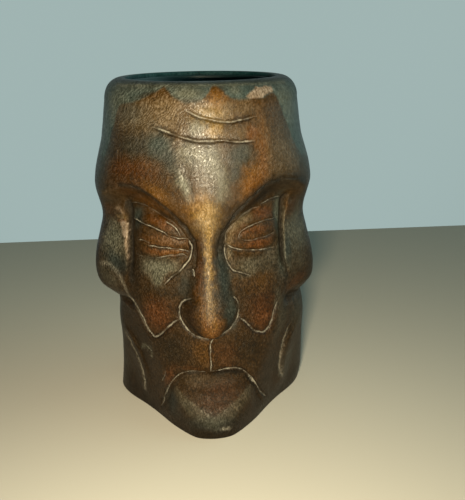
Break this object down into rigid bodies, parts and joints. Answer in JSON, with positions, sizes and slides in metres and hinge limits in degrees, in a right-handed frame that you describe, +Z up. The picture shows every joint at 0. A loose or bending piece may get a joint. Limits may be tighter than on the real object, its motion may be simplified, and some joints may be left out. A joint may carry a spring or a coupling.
{
  "type": "tiki mug",
  "caption": "Wooden tiki mug carved as a stern ancestor head, with a bored cup, a dark lining and a plugged foot.",
  "frame": {"origin": "on the bore's axis, at the level the foot stands on", "axes": "+Z up along the bore, -Y out of the middle of the face, +X to the right as the face is looked at"},
  "size_m": [0.1029, 0.1016, 0.15],
  "materials": {
    "carved_wood": "stained and oiled carved wood, dark in the cuts and rubbed orange-brown on the high places",
    "plug_wood": "turned wood, thin oil",
    "dark_lining": "smooth dark cup lining, soft gloss"
  },
  "bodies": {
    "root": {"carved_head": "carved_wood", "base_plug": "plug_wood", "cup_liner": "dark_lining"}
  },
  "joints": []
}
